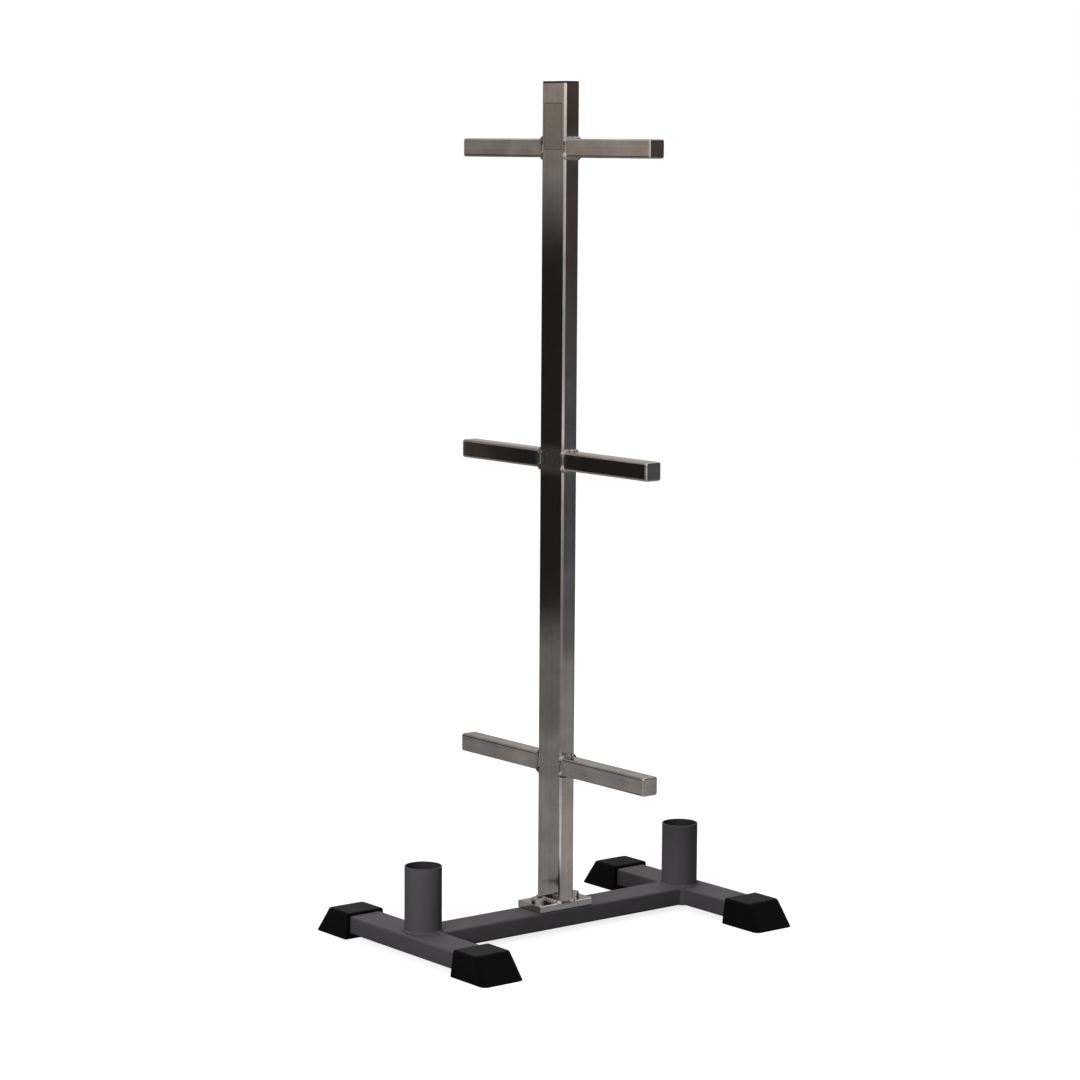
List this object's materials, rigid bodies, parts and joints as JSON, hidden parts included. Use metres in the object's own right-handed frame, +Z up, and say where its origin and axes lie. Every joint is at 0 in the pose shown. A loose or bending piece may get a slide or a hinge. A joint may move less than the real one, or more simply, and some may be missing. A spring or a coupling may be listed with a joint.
{
  "type": "plate tree",
  "caption": "Free-standing weight plate tree: plated upright tube with square arms on opposite sides, bolted to a dark H-shaped tube base with upright round bar holders and black rubber feet.",
  "frame": {"origin": "on the floor, under the axis of the upright post, at the centre of the base", "axes": "+Z up; X runs along the base beam through the two bar holders; Y runs along the plate arms and the foot tubes"},
  "size_m": [0.6426, 0.478, 1.383],
  "materials": {
    "plated_steel": "nickel-chrome plate over drawn tube",
    "powder_coat": "dark charcoal satin powder coat",
    "rubber": "moulded black rubber, fine matt grain",
    "plastic": "moulded black plastic",
    "zinc_plate": "bright zinc plate",
    "plain_steel": "plain steel"
  },
  "bodies": {
    "root": {"base_beam": "powder_coat", "mounting_plate": "plated_steel", "upright_post": "plated_steel", "post_foot_weld": "plated_steel", "post_top_cap": "plastic", "plate_arm_low_front": "plated_steel", "arm_end_cap_low_front": "plated_steel", "arm_weld_low_front": "plated_steel", "plate_arm_low_back": "plated_steel", "arm_end_cap_low_back": "plated_steel", "arm_weld_low_back": "plated_steel", "plate_arm_middle_front": "plated_steel", "arm_end_cap_middle_front": "plated_steel", "arm_weld_middle_front": "plated_steel", "plate_arm_middle_back": "plated_steel", "arm_end_cap_middle_back": "plated_steel", "arm_weld_middle_back": "plated_steel", "plate_arm_top_front": "plated_steel", "arm_end_cap_top_front": "plated_steel", "arm_weld_top_front": "plated_steel", "plate_arm_top_back": "plated_steel", "arm_end_cap_top_back": "plated_steel", "arm_weld_top_back": "plated_steel", "foot_tube_left": "powder_coat", "beam_weld_left": "powder_coat", "bar_holder_left": "powder_coat", "holder_weld_left": "powder_coat", "foot_cap_front_left": "rubber", "foot_cap_back_left": "rubber", "mounting_bolt_left": "zinc_plate", "weld_nut_left": "plain_steel", "foot_tube_right": "powder_coat", "beam_weld_right": "powder_coat", "bar_holder_right": "powder_coat", "holder_weld_right": "powder_coat", "foot_cap_front_right": "rubber", "foot_cap_back_right": "rubber", "mounting_bolt_right": "zinc_plate", "weld_nut_right": "plain_steel"}
  },
  "joints": []
}
